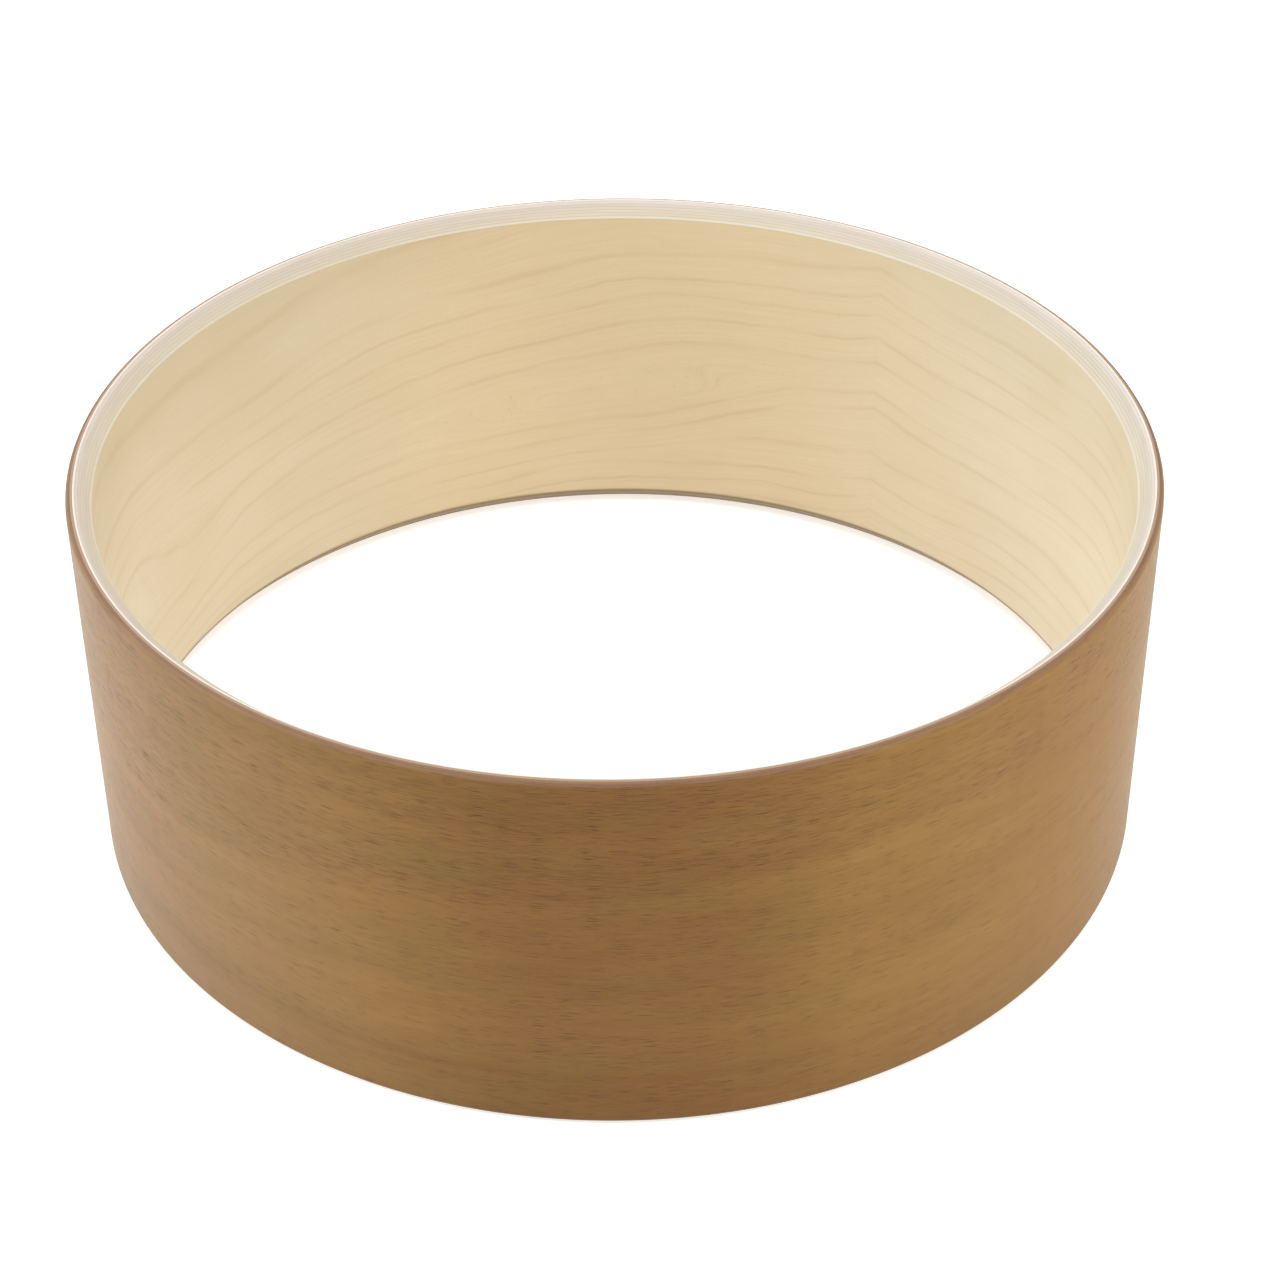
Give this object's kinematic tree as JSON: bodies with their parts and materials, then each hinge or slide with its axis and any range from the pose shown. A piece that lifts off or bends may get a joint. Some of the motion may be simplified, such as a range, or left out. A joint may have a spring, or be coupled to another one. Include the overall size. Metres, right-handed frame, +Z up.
{
  "type": "drum shell",
  "caption": "Bare ply drum shell: a short open cylinder of glued veneer hoops, brown outside and pale maple inside, with rounded and bevelled bearing edges that drumheads seat on.",
  "frame": {"origin": "centre of the circle that the lower rim stands on", "axes": "+Z up along the shell's axis; the seam of the inner face ply is 55 degrees from +X towards +Y"},
  "size_m": [0.352, 0.352, 0.13],
  "materials": {
    "brown_face_veneer": "raw sanded brown veneer, grain round the shell, fine dark pores",
    "brown_core_veneer": "raw machined edge of brown core veneer",
    "pale_core_veneer": "raw machined edge of pale core veneer",
    "maple_core_veneer": "raw machined edge of maple cross ply",
    "maple_face_veneer": "raw sanded pale maple, soft grain lines round the shell"
  },
  "bodies": {
    "root": {"outer_face_veneer": "brown_face_veneer", "outer_cross_ply": "brown_core_veneer", "outer_core_ply": "brown_core_veneer", "crest_ply": "pale_core_veneer", "core_ply_1": "pale_core_veneer", "core_ply_2": "pale_core_veneer", "core_ply_3": "pale_core_veneer", "core_ply_4": "pale_core_veneer", "inner_cross_ply": "maple_core_veneer", "inner_face_ply": "maple_face_veneer"}
  },
  "joints": []
}
